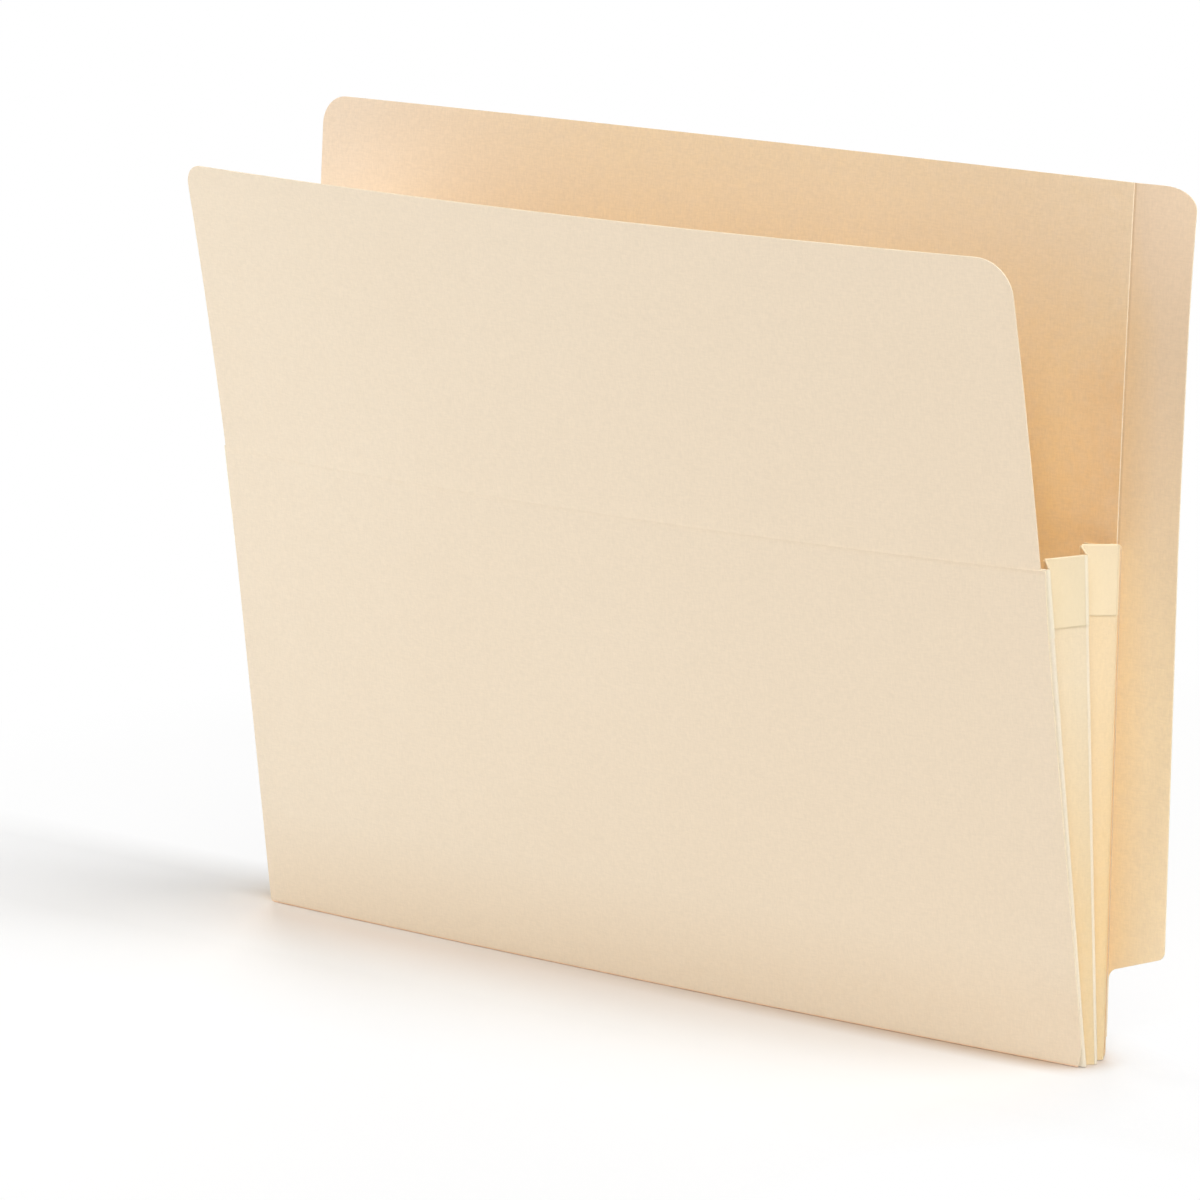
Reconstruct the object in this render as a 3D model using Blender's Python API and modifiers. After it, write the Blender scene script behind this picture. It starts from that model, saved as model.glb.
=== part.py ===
"""Expanding file pocket with an end tab, letter size, in plain manila stock.

The pocket stands open in a V on a narrow base. Front and back panels turn on the
base's two long scores, four folded leaves close each side, and the upper part of
the front turns down at a score just below the top of the side gussets. The front
sheet bows towards the viewer, from nothing at its foot to its full bow at the score.

Metres, +Z up, +X to the viewer's right, -Y towards the viewer. The origin is the
centre of the base's underside.
"""

import math

import bmesh
import bpy
from mathutils import Matrix, Vector

MM = 0.001

# Paper stock
PANEL_T = 0.40 * MM
GUSSET_T = 0.30 * MM
TAPE_T = 0.15 * MM

# Body
BODY_W = 293.0 * MM
BASE_DEPTH = 9.6 * MM
LEAN_DEG = 4.8
SCORE_H = 138.5 * MM
FLAP_H = 84.6 * MM
FLAP_BEND_DEG = 2.6
BACK_H = 235.0 * MM
FRONT_BOW = 8.4 * MM
FRONT_LEFT_INSET = 1.2 * MM
FRONT_RIGHT_INSET = 1.9 * MM
FOOT_FLARE = 1.8 * MM
BACK_LEFT_INSET = 4.2 * MM
BACK_RIGHT_INSET = 1.9 * MM

# Corners
BASE_CORNER_R = 2.5 * MM
FLAP_LEFT_R = 6.0 * MM
FLAP_RIGHT_R = 10.0 * MM
BACK_LEFT_R = 8.2 * MM

# End tab
TAB_REACH = 18.0 * MM
TAB_MARGIN = 24.0 * MM
TAB_FOOT = 6.0 * MM
TAB_INNER_H = 24.1 * MM
TAB_RISE = 5.9 * MM
TAB_TOP_R = 9.5 * MM
TAB_LOW_R = 1.9 * MM
TAB_FILLET_R = 2.3 * MM

# Side gussets
FOLD_IN = 7.0 * MM
FLANGE_W = 12.0 * MM
FLANGE_SETBACK = 0.8 * MM
RIDGE_SETBACK = 0.2 * MM
GUSSET_RISE = 0.5 * MM
TAPE_H = 18.8 * MM

# Clearances
GLUE = 0.12 * MM
FOLD_GAP = 0.30 * MM
FLAP_FOOT = 0.45 * MM
LEAF_GAP = 0.10 * MM
VALLEY_GAP = 0.35 * MM
TAPE_EDGE_GAP = 0.35 * MM

# Drawing
ARC_STEPS = 8
STRIPS = 9
FLAT = math.radians(0.1)
WELD = 0.01 * MM
AXIS_MARK = 20.0 * MM

# Paper colours, linear
PANEL_COLOUR = (0.84, 0.73, 0.58)
TAB_COLOUR = (0.82, 0.68, 0.50)
GUSSET_COLOUR = (0.87, 0.72, 0.50)
TAPE_COLOUR = (0.90, 0.78, 0.52)
PAPER_ROUGHNESS = 0.75

# Values that follow from the sizes above
LEAN = math.radians(LEAN_DEG)
FLAP_LEAN = LEAN + math.radians(FLAP_BEND_DEG)
HALF_W = BODY_W / 2
FRONT_LEFT = -HALF_W + FRONT_LEFT_INSET
FRONT_RIGHT = HALF_W - FRONT_RIGHT_INSET
HALF_BASE = BASE_DEPTH / 2
AXIS_Z = PANEL_T / 2
TAPED_HALF = GUSSET_T / 2 + GLUE + TAPE_T
FLANGE_IN = PANEL_T / 2 + GLUE
LEAF_IN = FLANGE_IN + GUSSET_T + LEAF_GAP + TAPED_HALF
MID_OUT = TAPED_HALF + LEAF_GAP
GUSSET_LOW = PANEL_T + FOLD_GAP
GUSSET_TOP = SCORE_H + GUSSET_RISE
FLAP_AXIS_OUT = PANEL_T / 2 + FOLD_GAP / 2


def leaf_space(height):
    """Depth that two neighbouring leaves fill together at a height on the panel."""
    return HALF_BASE - LEAF_IN - MID_OUT + height * math.tan(LEAN)


def leaf_reach(height):
    """Depth that one leaf fills at a height, clear of the valley fold."""
    return leaf_space(height) / 2 - VALLEY_GAP


LEAF_ANGLE = math.atan(leaf_reach(GUSSET_TOP) / FOLD_IN)


def leaf_width(height):
    """Width of a leaf from its ridge fold to its valley fold."""
    return leaf_reach(height) / math.sin(LEAF_ANGLE)


def clear_scene():
    for item in list(bpy.data.objects):
        bpy.data.objects.remove(item, do_unlink=True)


def new_collection(name):
    group = bpy.data.collections.new(name)
    bpy.context.scene.collection.children.link(group)
    return group


def paper(name, colour):
    material = bpy.data.materials.new(name)
    material.use_nodes = True
    shader = material.node_tree.nodes["Principled BSDF"]
    shader.inputs["Base Color"].default_value = (*colour, 1.0)
    shader.inputs["Roughness"].default_value = PAPER_ROUGHNESS
    shader.inputs["Metallic"].default_value = 0.0
    return material


def rounded_outline(corners):
    """Outline points for corners given as (x, y, radius), counter-clockwise."""
    points = []
    count = len(corners)
    for index, (x, y, radius) in enumerate(corners):
        here = Vector((x, y))
        if radius <= 0:
            points.append(here)
            continue
        before = (Vector(corners[index - 1][:2]) - here).normalized()
        after = (Vector(corners[(index + 1) % count][:2]) - here).normalized()
        half = before.angle(after) / 2
        cut = radius / math.tan(half)
        centre = here + (before + after).normalized() * (radius / math.sin(half))
        start = here + before * cut - centre
        end = here + after * cut - centre
        turn = start.angle_signed(end)
        for step in range(ARC_STEPS + 1):
            swing = Matrix.Rotation(-turn * step / ARC_STEPS, 2)
            points.append(centre + swing @ start)
    return points


def plate_mesh(name, outline, thickness):
    """A flat outline in the local XY plane, thickened evenly both ways."""
    curve = bpy.data.curves.new(name, "CURVE")
    curve.dimensions = "2D"
    curve.fill_mode = "BOTH"
    curve.extrude = thickness / 2
    spline = curve.splines.new("POLY")
    spline.points.add(len(outline) - 1)
    for point, place in zip(spline.points, outline):
        point.co = (place[0], place[1], 0.0, 1.0)
    spline.use_cyclic_u = True
    sketch = bpy.data.objects.new(name, curve)
    bpy.context.scene.collection.objects.link(sketch)
    graph = bpy.context.evaluated_depsgraph_get()
    mesh = bpy.data.meshes.new_from_object(sketch.evaluated_get(graph))
    bpy.data.objects.remove(sketch, do_unlink=True)
    bpy.data.curves.remove(curve)
    shape = bmesh.new()
    shape.from_mesh(mesh)
    bmesh.ops.remove_doubles(shape, verts=shape.verts, dist=WELD)
    bmesh.ops.recalc_face_normals(shape, faces=shape.faces)
    shape.to_mesh(mesh)
    shape.free()
    mesh.name = name
    return mesh


def bow_at(x):
    """Forward bow of the front sheet, full in the middle and gone at the side folds."""
    return FRONT_BOW * (1.0 - (x / HALF_W) ** 2)


def bowed_mesh(name, outline, lean, bow_share):
    """An open sheet cut into upright strips, each moved level towards the viewer."""
    mesh = plate_mesh(name, outline, 0.0)
    shape = bmesh.new()
    shape.from_mesh(mesh)
    bmesh.ops.dissolve_limit(shape, angle_limit=FLAT, verts=shape.verts, edges=shape.edges)
    for strip in range(1, STRIPS):
        cut = HALF_W * (2 * strip / STRIPS - 1)
        whole = shape.verts[:] + shape.edges[:] + shape.faces[:]
        bmesh.ops.bisect_plane(shape, geom=whole, plane_co=(cut, 0.0, 0.0), plane_no=(1.0, 0.0, 0.0))
    for point in shape.verts:
        bow = bow_at(point.co.x) * bow_share(point.co.y)
        point.co.y += bow * math.sin(lean)
        point.co.z += bow * math.cos(lean)
    shape.to_mesh(mesh)
    shape.free()
    return mesh


def thicken(item, thickness):
    stock = item.modifiers.new("paper stock", "SOLIDIFY")
    stock.thickness = thickness
    stock.offset = 0.0
    stock.use_even_offset = True


def place(name, mesh, group, parent, colour, offset=(0.0, 0.0, 0.0)):
    item = bpy.data.objects.new(name, mesh)
    group.objects.link(item)
    item.parent = parent
    item.location = offset
    mesh.materials.clear()
    mesh.materials.append(paper(name + " paper", colour))
    return item


def axis_empty(name, group, where, across, along):
    """An empty on a fold: local X across the sheet, local Y along the fold."""
    across = Vector(across).normalized()
    along = Vector(along).normalized()
    normal = across.cross(along)
    empty = bpy.data.objects.new(name, None)
    empty.empty_display_size = AXIS_MARK
    group.objects.link(empty)
    turn = Matrix((across, along, normal)).transposed()
    empty.matrix_world = Matrix.Translation(where) @ turn.to_4x4()
    return empty


def panel_frame(side):
    """Up, outward normal and base axis point of the front (-1) or back (+1) panel."""
    up = Vector((0.0, side * math.sin(LEAN), math.cos(LEAN)))
    out = Vector((0.0, side * math.cos(LEAN), -math.sin(LEAN)))
    foot = Vector((0.0, side * HALF_BASE, AXIS_Z))
    return up, out, foot


def make_base(group):
    half = HALF_BASE - PANEL_T / 2 - FOLD_GAP
    outline = rounded_outline(
        [(-HALF_W, -half, 0), (HALF_W, -half, 0), (HALF_W, half, 0), (-HALF_W, half, 0)]
    )
    mesh = plate_mesh("base_panel", outline, PANEL_T)
    place("base_panel", mesh, group, None, PANEL_COLOUR, (0.0, 0.0, AXIS_Z))


def make_front(group):
    up, out, foot = panel_frame(-1)
    hinge = axis_empty("front_score_axis", group, foot, (1, 0, 0), up)
    outline = rounded_outline(
        [
            (FRONT_LEFT - FOOT_FLARE, 0.0, BASE_CORNER_R),
            (FRONT_RIGHT + FOOT_FLARE, 0.0, BASE_CORNER_R),
            (FRONT_RIGHT, SCORE_H - FOLD_GAP / 2, 0),
            (FRONT_LEFT, SCORE_H - FOLD_GAP / 2, 0),
        ]
    )
    mesh = bowed_mesh("front_panel", outline, LEAN, lambda height: height / SCORE_H)
    thicken(place("front_panel", mesh, group, hinge, PANEL_COLOUR), PANEL_T)

    flap_up = Vector((0.0, -math.sin(FLAP_LEAN), math.cos(FLAP_LEAN)))
    crest = foot + up * SCORE_H + out * FLAP_AXIS_OUT + Vector((0.0, -FRONT_BOW, 0.0))
    fold = axis_empty("flap_score_axis", group, crest, (1, 0, 0), flap_up)
    outline = rounded_outline(
        [
            (FRONT_LEFT, FLAP_FOOT, 0),
            (FRONT_RIGHT, FLAP_FOOT, 0),
            (FRONT_RIGHT, FLAP_H, FLAP_RIGHT_R),
            (FRONT_LEFT, FLAP_H, FLAP_LEFT_R),
        ]
    )
    mesh = bowed_mesh("front_flap", outline, FLAP_LEAN, lambda height: 1.0)
    behind = (0.0, -FRONT_BOW * math.sin(FLAP_LEAN), -FRONT_BOW * math.cos(FLAP_LEAN) - FLAP_AXIS_OUT)
    thicken(place("front_flap", mesh, group, fold, PANEL_COLOUR, behind), PANEL_T)
    return hinge


def make_back(group):
    up, out, foot = panel_frame(1)
    hinge = axis_empty("back_score_axis", group, foot, (1, 0, 0), up)
    left = -HALF_W + BACK_LEFT_INSET
    right = HALF_W - BACK_RIGHT_INSET
    outline = rounded_outline(
        [
            (-HALF_W, 0.0, BASE_CORNER_R),
            (HALF_W, 0.0, BASE_CORNER_R),
            (HALF_W, SCORE_H, 0),
            (right, SCORE_H, 0),
            (right, BACK_H, 0),
            (left, BACK_H, BACK_LEFT_R),
            (left, SCORE_H, 0),
            (-HALF_W, SCORE_H, 0),
        ]
    )
    mesh = plate_mesh("back_panel", outline, PANEL_T)
    place("back_panel", mesh, group, hinge, PANEL_COLOUR)

    inner = HALF_W - TAB_MARGIN
    outer = HALF_W + TAB_REACH
    outline = rounded_outline(
        [
            (inner, TAB_FOOT, 0),
            (HALF_W, TAB_FOOT, 0),
            (HALF_W, TAB_INNER_H, TAB_FILLET_R),
            (outer, TAB_INNER_H + TAB_RISE, TAB_LOW_R),
            (outer, BACK_H, TAB_TOP_R),
            (inner, BACK_H, 0),
        ]
    )
    behind = -(PANEL_T / 2 + GLUE + PANEL_T / 2)
    mesh = plate_mesh("end_tab", outline, PANEL_T)
    place("end_tab", mesh, group, hinge, TAB_COLOUR, (0.0, 0.0, behind))
    return hinge


def make_flange(name, group, parent, hand, inward):
    low = hand * (HALF_W - FLANGE_W)
    high = hand * (HALF_W - FLANGE_SETBACK)
    left = min(low, high)
    right = max(low, high)
    outline = rounded_outline(
        [
            (left, GUSSET_LOW, 0),
            (right, GUSSET_LOW, 0),
            (right, SCORE_H - FOLD_GAP, 0),
            (left, SCORE_H - FOLD_GAP, 0),
        ]
    )
    shift = inward * (FLANGE_IN + GUSSET_T / 2)
    mesh = plate_mesh(name, outline, GUSSET_T)
    place(name, mesh, group, parent, GUSSET_COLOUR, (0.0, 0.0, shift))


def make_tape(name, group, cutters, parent):
    """Tape folded over a leaf's top edge: a block with the leaf's slot cut out."""
    low = GUSSET_TOP - TAPE_H
    high = GUSSET_TOP + GLUE + TAPE_T
    block = plate_mesh(
        name,
        [
            (0.0, low),
            (leaf_width(low) - TAPE_EDGE_GAP, low),
            (leaf_width(GUSSET_TOP) - TAPE_EDGE_GAP, high),
            (0.0, high),
        ],
        2 * TAPED_HALF,
    )
    tape = place(name, block, group, parent, TAPE_COLOUR)
    wide = 2 * leaf_width(GUSSET_TOP)
    slot = plate_mesh(
        name + "_slot",
        [
            (-wide, low - TAPE_H),
            (wide, low - TAPE_H),
            (wide, GUSSET_TOP + GLUE),
            (-wide, GUSSET_TOP + GLUE),
        ],
        GUSSET_T + 2 * GLUE,
    )
    cutter = place(name + "_slot", slot, cutters, parent, TAPE_COLOUR)
    cutter.hide_render = True
    cutter.display_type = "WIRE"
    cut = tape.modifiers.new("leaf slot", "BOOLEAN")
    cut.operation = "DIFFERENCE"
    cut.solver = "EXACT"
    cut.object = cutter


def make_leaf(side_name, number, group, cutters, where, across, along):
    name = f"{side_name}_leaf_{number}"
    fold = axis_empty(name + "_axis", group, where, across, along)
    outline = [
        (0.0, GUSSET_LOW),
        (leaf_width(GUSSET_LOW), GUSSET_LOW),
        (leaf_width(GUSSET_TOP), GUSSET_TOP),
        (0.0, GUSSET_TOP),
    ]
    place(name, plate_mesh(name, outline, GUSSET_T), group, fold, GUSSET_COLOUR)
    make_tape(f"{side_name}_tape_{number}", group, cutters, fold)


def make_gusset(side_name, hand, group, cutters, front, back):
    """Four leaves in a W on one side; hand is +1 on the right and -1 on the left."""
    make_flange(side_name + "_front_flange", group, front, hand, -1)
    make_flange(side_name + "_back_flange", group, back, hand, 1)
    edge = Vector((hand * (HALF_W - RIDGE_SETBACK), 0.0, 0.0))
    inwards = Vector((-hand * math.cos(LEAF_ANGLE), 0.0, 0.0))
    rise = Vector((0.0, 0.0, 1.0))
    for side, outer_leaf, middle_leaf in ((-1, 1, 2), (1, 4, 3)):
        up, out, foot = panel_frame(side)
        ridge = edge + foot - out * LEAF_IN
        across = inwards - out * math.sin(LEAF_ANGLE)
        make_leaf(side_name, outer_leaf, group, cutters, ridge, across, up)
        middle = edge + Vector((0.0, side * MID_OUT, AXIS_Z))
        across = inwards + Vector((0.0, side * math.sin(LEAF_ANGLE), 0.0))
        make_leaf(side_name, middle_leaf, group, cutters, middle, across, rise)


def main():
    clear_scene()
    group = new_collection("expanding_file_pocket")
    cutters = new_collection("cutters")
    make_base(group)
    front = make_front(group)
    back = make_back(group)
    make_gusset("right", 1, group, cutters, front, back)
    make_gusset("left", -1, group, cutters, front, back)
    bpy.context.view_layer.update()


main()
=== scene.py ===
"""Looks of the manila end-tab file pocket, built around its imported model.

Every sheet is drawn flat, with X across and Y up the sheet. It is cut and rounded
there, laid on its own surface, and then given the thickness of its stock. Metres,
+Z up, +X to the viewer's right, -Y towards the viewer.
"""

import math

import bpy
from mathutils import Matrix, Vector


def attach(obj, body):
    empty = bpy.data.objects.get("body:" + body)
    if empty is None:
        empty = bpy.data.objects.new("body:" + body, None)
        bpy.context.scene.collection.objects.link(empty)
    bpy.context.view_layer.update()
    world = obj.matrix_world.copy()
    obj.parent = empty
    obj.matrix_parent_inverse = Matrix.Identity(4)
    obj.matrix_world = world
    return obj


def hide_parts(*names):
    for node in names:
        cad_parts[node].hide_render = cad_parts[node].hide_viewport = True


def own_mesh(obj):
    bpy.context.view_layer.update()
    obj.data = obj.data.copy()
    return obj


MM = 0.001

# Stock
PANEL_T = 0.40 * MM
GUSSET_T = 0.30 * MM
TAPE_T = 0.15 * MM
TAPE_LIFT = 0.01 * MM
CUT_ROUND = 0.06 * MM
CUT_ROUND_STEPS = 2
TAPE_ROUND = 0.03 * MM

# Body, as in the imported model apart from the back's insets
HALF_W = 146.5 * MM
HALF_BASE = 4.8 * MM
LEAN = math.radians(4.8)
SCORE_H = 138.5 * MM
FLAP_H = 84.6 * MM
FLAP_BEND = math.radians(2.6)
BACK_H = 235.0 * MM
FRONT_LEFT = -145.3 * MM
FRONT_RIGHT = 144.6 * MM
FOOT_FLARE = 1.8 * MM
BACK_LEFT_INSET = 5.1 * MM
BACK_RIGHT_INSET = 1.4 * MM
AXIS_Z = PANEL_T / 2

# Corners
BASE_CORNER_R = 2.5 * MM
FRONT_LEFT_FOOT_R = 1.5 * MM
FRONT_RIGHT_FOOT_R = 0.8 * MM
FLAP_LEFT_R = 6.0 * MM
FLAP_RIGHT_R = 10.0 * MM
BACK_LEFT_R = 8.2 * MM
SHOULDER_R = 0.6 * MM

# End tab
TAB_REACH = 18.0 * MM
TAB_MARGIN = 24.0 * MM
TAB_FOOT = 6.0 * MM
TAB_INNER_H = 24.1 * MM
TAB_RISE = 5.9 * MM
TAB_TOP_ALONG = 10.3 * MM
TAB_TOP_DOWN = 6.0 * MM
TAB_CURL = 1.2 * MM
TAB_CURL_H = 45.0 * MM
TAB_LOW_R = 1.9 * MM
TAB_FILLET_R = 2.3 * MM
TAB_BEHIND = 0.44 * MM

# Side gussets
FOLD_IN = 6.4 * MM
FLANGE_W = 12.0 * MM
LAP_EDGE = 3.0 * MM
RIDGE_SETBACK = 0.2 * MM
LEAF_IN = 1.14 * MM
MID_OUT = 0.52 * MM
MID_PROUD = 0.6 * MM
GUSSET_LOW = -0.1 * MM
LAP_LOW = 0.7 * MM
GUSSET_TOP = SCORE_H + 0.5 * MM
FRONT_FOLD_TOP = SCORE_H + 0.2 * MM
LAP_TOP = SCORE_H - 0.3 * MM
VALLEY_GAP = 0.35 * MM
VALLEY_FILL = 0.22 * MM
VALLEY_R = GUSSET_T + TAPE_LIFT
VALLEY_START = 0.8 * MM
VALLEY_LAP = 1.5 * MM
TAPE_H = 18.8 * MM
TAPE_OFF = GUSSET_T / 2 + TAPE_T / 2 + TAPE_LIFT
TAPED_T = GUSSET_T + 2 * TAPE_T + 2 * TAPE_LIFT
CAP_T = 0.3 * MM
CAP_DROP = 0.1 * MM
CAP_DIP = 0.08 * MM
CAP_RIM = 0.3  # share of the cap's radius
CAP_STEPS = 24

# How far each leaf's top edge lies below the gusset's top, at its ridge and at its valley
TOP_DROPS = {1: (0.3 * MM, 0.55 * MM), 2: (0.0, 0.5 * MM), 3: (0.0, 0.0), 4: (0.0, 0.0)}

# Natural curves of the standing sheets
BOW_FOOT = 2.4 * MM
BOW_SCORE = 8.67 * MM
BOW_TOP = 8.2 * MM
FLAP_LEAN_LEFT = math.radians(7.48)
FLAP_LEAN_RIGHT = math.radians(7.21)
FLAP_CURL = math.radians(2.78)
BACK_TOP_LEAN = math.radians(6.44)
BACK_CURL = math.radians(1.46)
BACK_BOW = 1.9 * MM
BACK_FALL = 0.5 * MM

# Right edge of the front
EDGE_ZONE = 15.0 * MM
SHOULDER_OUT = 1.5 * MM
SHOULDER_RUN = 14.0 * MM
FOOT_TUCK = 1.6 * MM
FOOT_RISE = 11.0 * MM

# Score relief
SCORE_LAP = 0.08 * MM
RIDGE_RISE = 0.13 * MM
RIDGE_SPREAD = 0.35 * MM
GROOVE_DEPTH = 0.09 * MM
GROOVE_DOWN = 1.0 * MM
GROOVE_SPREAD = 0.42 * MM
SCORE_GAIN = 0.9

# Bottom folds
FOLD_R = 0.36 * MM
FOLD_TURN = math.pi / 2 - LEAN
FOLD_START = FOLD_R * math.tan(FOLD_TURN / 2)
SHEET_LOW = FOLD_START - FOLD_R * FOLD_TURN
BASE_END = 2.6 * MM
BASE_LIFT = 0.02 * MM
FOOT_LAP = 2.7 * MM
FOOT_LAP_HALF = 136.0 * MM

# Drawing: numbers of steps and strips, and distances of ruled lines from the score in mm
ARC_STEPS = 10
FOLD_STEPS = 8
ACROSS = 36
UPWARDS = 18
EDGE_COLUMNS = 6
FOOT_ROWS = 6
TAB_COLUMNS = 8
LEAF_COLUMNS = 3
LAP_COLUMNS = 6
FRONT_SCORE_LINES = (0.0, 0.15, 0.3, 0.5, 0.7, 0.9, 1.1, 1.3, 1.6, 2.0, 2.6)
FLAP_SCORE_LINES = (0.0, 0.15, 0.3, 0.5, 0.8, 1.2, 2.0)
SCORE_CLEAR = 3.0 * MM
NEAR = 0.01 * MM
SOFT_EDGE_ANGLE = math.radians(50.0)
SMOOTH_ANGLE = math.radians(20.0)

# Paper: sizes of its patterns, how far each one shows, and the run of noise values that shows it
PAPER_GLOSS = 0.25
DRIFT_SIZE = 70.0 * MM
DRIFT_SHARE = 0.35
MOTTLE_SIZE = 3.2 * MM
MOTTLE_SHARE = 0.26
MOTTLE_SMOOTHER = 0.05
MOTTLE_ROUGHER = 0.06
FIBRE_SIZE = 0.46 * MM
FIBRE_ALONG = 0.22
FIBRE_THROUGH = 0.6
FIBRE_RUN = (0.7, 1.3)
FLECK_SIZE = 0.55 * MM
FLECK_SHARE = 0.1
FLECK_RUN = (0.72, 0.8)
RELIEF_DEPTH = 0.05 * MM

# Sockets of a Mix node that mixes colours
MIX_FACTOR = 0
MIX_FIRST = 6
MIX_SECOND = 7
MIX_RESULT = 2

# Light: azimuth and elevation in degrees, 0 in front and 90 to the right, then watts
AIM = Vector((0.0, 0.0, 0.10))
LAMP_DISTANCE = 2.0
LAMP_SIZE = 1.1
LAMPS = (
    ("left_front_lamp", -45.0, 12.0, 12.2),
    ("left_lamp", -90.0, 12.0, 24.2),
    ("left_rear_lamp", -135.0, 12.0, 28.9),
    ("right_front_lamp", 45.0, 40.0, 18.9),
    ("right_lamp", 90.0, 40.0, 6.1),
    ("right_top_lamp", 90.0, 65.0, 22.1),
)

# Floor: its colour for light and for the eye, its painted shade close to the pocket and where the pocket
# touches it, and the white further out.
# A run goes from one place to another, and a fade is an axis, its run and how far it shows.
FLOOR_SIZE = 12.0
FLOOR_DROP = 0.02 * MM
FLOOR_BOUNCE = (0.86, 0.86, 0.86)
FLOOR_SHOWN = (0.80, 0.80, 0.80)
FLOOR_SHADED = (0.745, 0.665, 0.60)
FLOOR_SHADE_REACH = 0.036
FLOOR_SHADE_LEAST = 0.2
FLOOR_SHADE_RUN = (0.16, -0.10)
FLOOR_CONTACT_SHADE_LEFT = (0.79, 0.75, 0.71)
FLOOR_CONTACT_SHADE_RIGHT = (0.57, 0.46, 0.365)
FLOOR_CONTACT_SHADE_REACH = 0.009
FLOOR_CONTACT_SHADE_RUN = (-0.09, 0.11)
SKY_SAMPLES = 8
SKY_LEFT = 0.5
FLOOR_FADES = (
    ("Y", 0.006, 0.026, 0.85),
    ("Y", -0.045, -0.095, 0.8),
    ("X", 0.135, 0.180, 0.8),
)
FLOOR_WHITE_RUN = (0.32, 0.70)

# Camera: its place and the distances that it sees in metres, its lens and sensor in mm
CAMERA_PLACE = Vector((1.20718, -1.43195, 0.55918))
CAMERA_RIGHT = Vector((0.76928, 0.63803, -0.03346))
CAMERA_UP = Vector((-0.12393, 0.20038, 0.97185))
CAMERA_LENS = 209.59
CAMERA_SENSOR = 36.0
CAMERA_SHIFT = (-0.04766, -0.00473)  # shares of the frame
CAMERA_NEAREST = 0.05
CAMERA_FURTHEST = 50.0

FRONT_UP = Vector((0.0, -math.sin(LEAN), math.cos(LEAN)))
FRONT_OUT = Vector((0.0, -math.cos(LEAN), -math.sin(LEAN)))
FRONT_FOOT = Vector((0.0, -HALF_BASE, AXIS_Z))
BACK_UP = Vector((0.0, math.sin(LEAN), math.cos(LEAN)))
BACK_OUT = Vector((0.0, math.cos(LEAN), -math.sin(LEAN)))
BACK_FOOT = Vector((0.0, HALF_BASE, AXIS_Z))
FLAP_OUT = Vector((0.0, -math.cos(LEAN + FLAP_BEND), -math.sin(LEAN + FLAP_BEND)))
SCORE_MID = FRONT_FOOT + FRONT_UP * SCORE_H
RIDGE_X = HALF_W - RIDGE_SETBACK
WALL_OF_LEAF = {1: (FRONT_UP, FRONT_OUT, FRONT_FOOT), 4: (BACK_UP, BACK_OUT, BACK_FOOT)}
UPRIGHT = Vector((0.0, 0.0, 1.0))

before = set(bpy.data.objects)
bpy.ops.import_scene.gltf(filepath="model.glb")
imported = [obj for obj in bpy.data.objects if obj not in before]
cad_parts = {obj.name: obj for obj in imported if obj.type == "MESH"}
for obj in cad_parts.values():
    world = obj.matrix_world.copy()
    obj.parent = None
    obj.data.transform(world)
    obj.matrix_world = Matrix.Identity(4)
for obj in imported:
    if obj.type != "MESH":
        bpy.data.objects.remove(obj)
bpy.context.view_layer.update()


# Surfaces that the sheets are laid on


def bow_share(x):
    """How much of the bow is left at x: all in the middle, none at the side edges."""
    return 1.0 - min(abs(x) / HALF_W, 1.0) ** 2


def ridge(away):
    """The pressed line of the score stands a little proud."""
    return RIDGE_RISE * math.exp(-((away / RIDGE_SPREAD) ** 2))


def groove(away):
    """The stock sinks a little just below the score."""
    return GROOVE_DEPTH * math.exp(-(((away - GROOVE_DOWN) / GROOVE_SPREAD) ** 2))


def wall_line(foot, rise, out, up):
    """A wall's middle line: straight above its bottom fold, rolled under below it, then level."""
    if up >= FOLD_START:
        return foot + rise * up
    turn = min((FOLD_START - up) / FOLD_R, FOLD_TURN)
    rolled = foot + rise * (FOLD_START - FOLD_R * math.sin(turn))
    rolled -= out * (FOLD_R * (1.0 - math.cos(turn)))
    return rolled - Vector((0.0, math.copysign(max(SHEET_LOW - up, 0.0), out.y), 0.0))


def front_surface(x, up):
    bow = BOW_FOOT + (BOW_SCORE - BOW_FOOT) * max(up, 0.0) / SCORE_H
    return wall_line(FRONT_FOOT, FRONT_UP, FRONT_OUT, up) + Vector((x, -bow * bow_share(x), 0.0))


def edge_shift(x, up):
    """The front's right edge stands out below the score and tucks in at the foot."""
    near = min(max((x - FRONT_RIGHT + EDGE_ZONE) / EDGE_ZONE, 0.0), 1.0)
    shoulder = SHOULDER_OUT / (1.0 + max(SCORE_H - up, 0.0) / SHOULDER_RUN)
    tuck = FOOT_TUCK * max(1.0 - max(up, 0.0) / FOOT_RISE, 0.0) ** 2
    return (shoulder - tuck) * near * near


def scored_front(x, up):
    """The front with the relief of its score, which is pressed deeper to the right."""
    below = SCORE_H - up
    press = 1.0 + SCORE_GAIN * max(x, 0.0) / HALF_W
    relief = press * (ridge(below) - groove(below))
    return front_surface(x + edge_shift(x, up), up) + FRONT_OUT * relief


def flap_surface(x, up):
    share = up / FLAP_H
    lean = FLAP_LEAN_LEFT + (FLAP_LEAN_RIGHT - FLAP_LEAN_LEFT) * (x / HALF_W + 1.0) / 2
    curl = FLAP_CURL * FLAP_H * (share * share - share) / 2
    bow = BOW_SCORE + (BOW_TOP - BOW_SCORE) * share
    forward = up * math.sin(lean) + curl + bow * bow_share(x)
    point = SCORE_MID + FRONT_OUT * ridge(up)
    return point + Vector((x, -forward, up * math.cos(lean)))


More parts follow.
